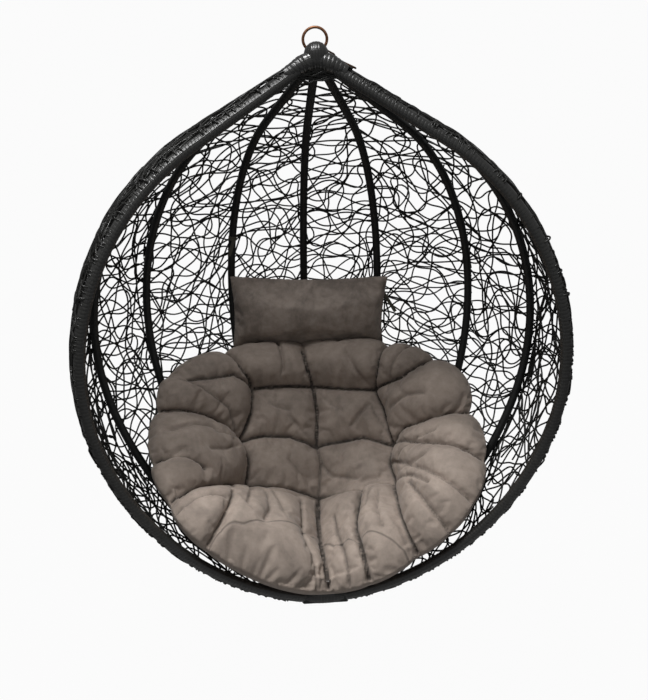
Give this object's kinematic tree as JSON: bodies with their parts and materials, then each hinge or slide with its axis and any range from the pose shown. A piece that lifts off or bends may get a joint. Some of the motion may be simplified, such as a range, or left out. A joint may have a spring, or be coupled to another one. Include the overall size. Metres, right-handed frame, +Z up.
{
  "type": "hanging egg chair",
  "caption": "Teardrop hanging chair: bent steel ribs and a wound front hoop, woven strand shell, tufted round seat cushion and tied headrest pillow, hung on a ring.",
  "frame": {"origin": "where a hook bears inside the top of the hanging ring", "axes": "+Z up as the chair hangs in balance; the opening faces -Y; +X is to the right of someone facing the opening"},
  "size_m": [1.0704, 0.7639, 1.3201],
  "materials": {
    "ring": "satin bronze",
    "hardware": "dark bronze, worn",
    "frame": "satin black powder coat",
    "strip": "glossy black flat strip",
    "cap": "glossy black wound strip",
    "strand": "satin black round strand",
    "tie": "dark taupe tape",
    "cushion_cover": "taupe polyester with a slight sheen",
    "pillow_cover": "taupe polyester with a slight sheen"
  },
  "bodies": {
    "ring": {"hanging_ring": "ring"},
    "pod": {"crown_hub": "frame", "crown_cap": "cap", "crown_eye": "hardware", "foot_hub": "frame", "hoop_left": "frame", "hoop_right": "frame", "hoop_wrap_left": "strip", "hoop_wrap_right": "strip", "rib_centre": "frame", "rib_left_1": "frame", "rib_left_2": "frame", "rib_left_3": "frame", "rib_right_1": "frame", "rib_right_2": "frame", "rib_right_3": "frame", "net_left_1": "strand", "net_left_2": "strand", "net_left_3": "strand", "net_left_4": "strand", "net_right_1": "strand", "net_right_2": "strand", "net_right_3": "strand", "net_right_4": "strand", "pillow_tie_left": "tie", "pillow_tie_right": "tie"},
    "link_1": {"chain_link_1": "hardware"},
    "link_2": {"chain_link_2": "hardware"},
    "cushion": {"seat_cushion": "cushion_cover"},
    "pillow": {"headrest_pillow": "pillow_cover"}
  },
  "joints": [
    {"name": "pod_swing", "type": "hinge", "parent": "ring", "child": "pod", "pos_m": [0, 0, -0.047], "axis": [1, 0, 0], "range_deg": [-15, 15]},
    {"name": "chain_link_1_lift", "type": "hinge", "parent": "pod", "child": "link_1", "pos_m": [0, 0.01449, -0.04195], "axis": [0, -0.9871, 0.1599], "range_deg": [0, 40]},
    {"name": "chain_link_2_lift", "type": "hinge", "parent": "link_1", "child": "link_2", "pos_m": [0.03796, 0.01113, -0.06272], "axis": [0, -0.9871, 0.1599], "range_deg": [0, 35]},
    {"name": "seat_cushion_lift", "type": "slide", "parent": "pod", "child": "cushion", "axis": [0, -0.8894, 0.4571], "range_m": [0, 0.8]},
    {"name": "headrest_pillow_lift", "type": "slide", "parent": "pod", "child": "pillow", "axis": [0, -0.7749, 0.632], "range_m": [0, 0.7]}
  ]
}
